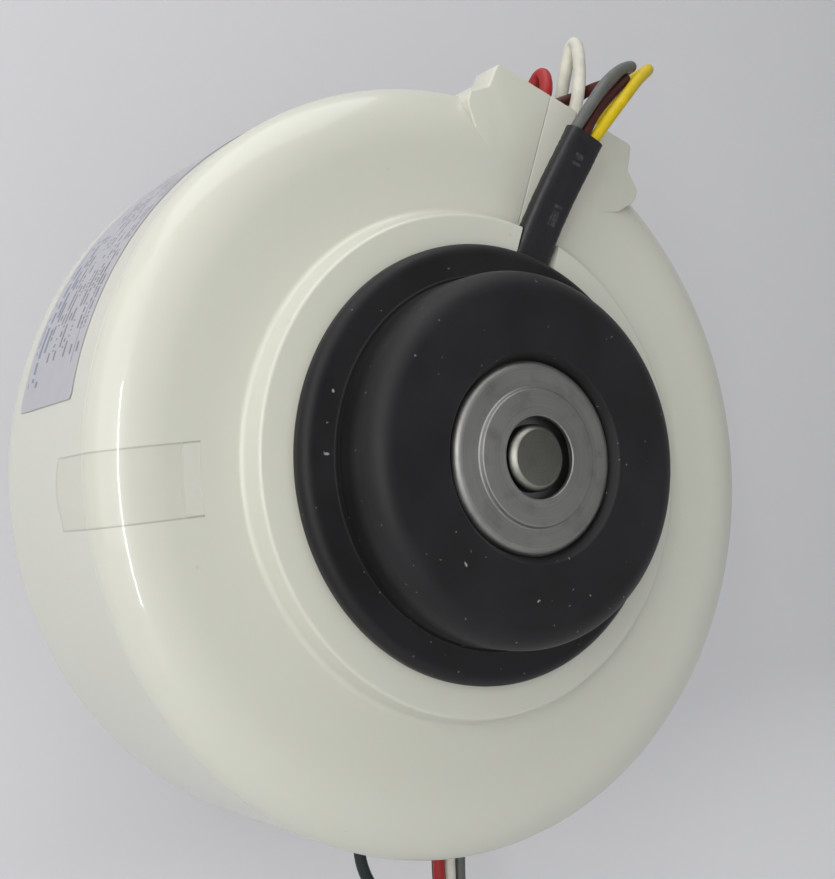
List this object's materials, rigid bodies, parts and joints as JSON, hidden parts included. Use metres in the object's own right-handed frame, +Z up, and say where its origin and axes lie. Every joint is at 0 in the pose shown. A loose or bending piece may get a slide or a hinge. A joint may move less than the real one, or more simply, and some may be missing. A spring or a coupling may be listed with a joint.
{
  "type": "fan motor",
  "caption": "Single-phase fan motor in a round resin casing, with rubber mounting rings at both ends, a drive shaft with a flat and speed-sensor and power leads ending in plugs.",
  "frame": {"origin": "on the shaft's axis, in the middle of the drive-end rubber ring's clamping width", "axes": "+Y along the shaft, out of the drive end; +Z up, with the lead outlet 25 degrees clockwise from it seen from the sensor end; +X to the right seen from the sensor end"},
  "size_m": [0.0973, 0.1099, 0.1649],
  "materials": {
    "casing_resin": "slightly glossy moulded ivory resin",
    "bush_plastic": "satin white plastic",
    "pressed_steel": "dull zinc-plated pressed steel",
    "ring_rubber": "matt black rubber",
    "lamination": "stacked electrical sheet steel",
    "bobbin_plastic": "satin white plastic",
    "magnet_wire": "enamelled copper wire",
    "contact_brass": "bright tinned brass",
    "board_laminate": "green laminate",
    "chip_plastic": "matt black",
    "fuse_ceramic": "unglazed",
    "shaft_steel": "ground steel",
    "cast_aluminium": "die-cast",
    "magnet": "plastic-bonded ferrite",
    "spring_steel": "phosphated spring steel",
    "bearing_steel": "ground and polished",
    "cage_plastic": "satin moulded plastic",
    "sleeve_plastic": "satin shrink sleeve",
    "black_insulation": "satin",
    "red_insulation": "satin",
    "white_insulation": "satin",
    "grey_insulation": "satin",
    "brown_insulation": "satin",
    "yellow_insulation": "satin",
    "tie_plastic": "natural nylon",
    "plug_plastic": "natural nylon",
    "label_paper": "silvery printed film",
    "clear_tape": "clear, slightly yellowed"
  },
  "bodies": {
    "housing": {"motor_casing": "casing_resin", "end_cover": "casing_resin", "lead_bush": "bush_plastic", "sensor_end_bearing_cup": "pressed_steel", "drive_end_bearing_cup": "pressed_steel", "sensor_end_mounting_ring": "ring_rubber", "drive_end_mounting_ring": "ring_rubber", "stator_core": "lamination", "coil_bobbins": "bobbin_plastic", "main_coils": "magnet_wire", "auxiliary_coils": "magnet_wire", "terminal_pins": "contact_brass", "sensor_board": "board_laminate", "board_components": "chip_plastic", "hall_sensor": "chip_plastic", "thermal_fuse": "fuse_ceramic", "preload_washer": "spring_steel", "sensor_end_bearing_outer_ring": "bearing_steel", "sensor_end_bearing_shields": "pressed_steel", "drive_end_bearing_outer_ring": "bearing_steel", "drive_end_bearing_shields": "pressed_steel", "sensor_sleeve": "sleeve_plastic", "black_lead": "black_insulation", "red_lead": "red_insulation", "white_lead": "white_insulation", "grey_lead": "grey_insulation", "brown_lead": "brown_insulation", "yellow_lead": "yellow_insulation", "cable_tie": "tie_plastic", "power_plug": "plug_plastic", "power_plug_contacts": "contact_brass", "sensor_plug": "plug_plastic", "sensor_plug_contacts": "contact_brass", "rating_label": "label_paper", "sealing_tape": "clear_tape"},
    "rotor": {"rotor_shaft": "shaft_steel", "rotor_core": "lamination", "rotor_cage": "cast_aluminium", "sensor_magnet": "magnet", "sensor_end_retaining_ring": "spring_steel", "drive_end_retaining_ring": "spring_steel", "sensor_end_bearing_inner_ring": "bearing_steel", "drive_end_bearing_inner_ring": "bearing_steel"},
    "sensor_end_ball_set": {"sensor_end_bearing_balls": "bearing_steel", "sensor_end_bearing_ball_cage": "cage_plastic"},
    "drive_end_ball_set": {"drive_end_bearing_balls": "bearing_steel", "drive_end_bearing_ball_cage": "cage_plastic"}
  },
  "joints": [
    {"name": "rotor_spin", "type": "hinge", "parent": "housing", "child": "rotor", "pos_m": [0, 0, 0], "axis": [0, 1, 0], "continuous": true},
    {"name": "sensor_end_balls_roll", "type": "hinge", "parent": "housing", "child": "sensor_end_ball_set", "pos_m": [0, -0.0536, 0], "axis": [0, 1, 0], "continuous": true},
    {"name": "drive_end_balls_roll", "type": "hinge", "parent": "housing", "child": "drive_end_ball_set", "pos_m": [0, 0.0001, 0], "axis": [0, 1, 0], "continuous": true}
  ],
  "couplings": [
    {"joint": "sensor_end_balls_roll", "follows": "rotor_spin", "ratio": 0.36833},
    {"joint": "drive_end_balls_roll", "follows": "rotor_spin", "ratio": 0.36833}
  ]
}
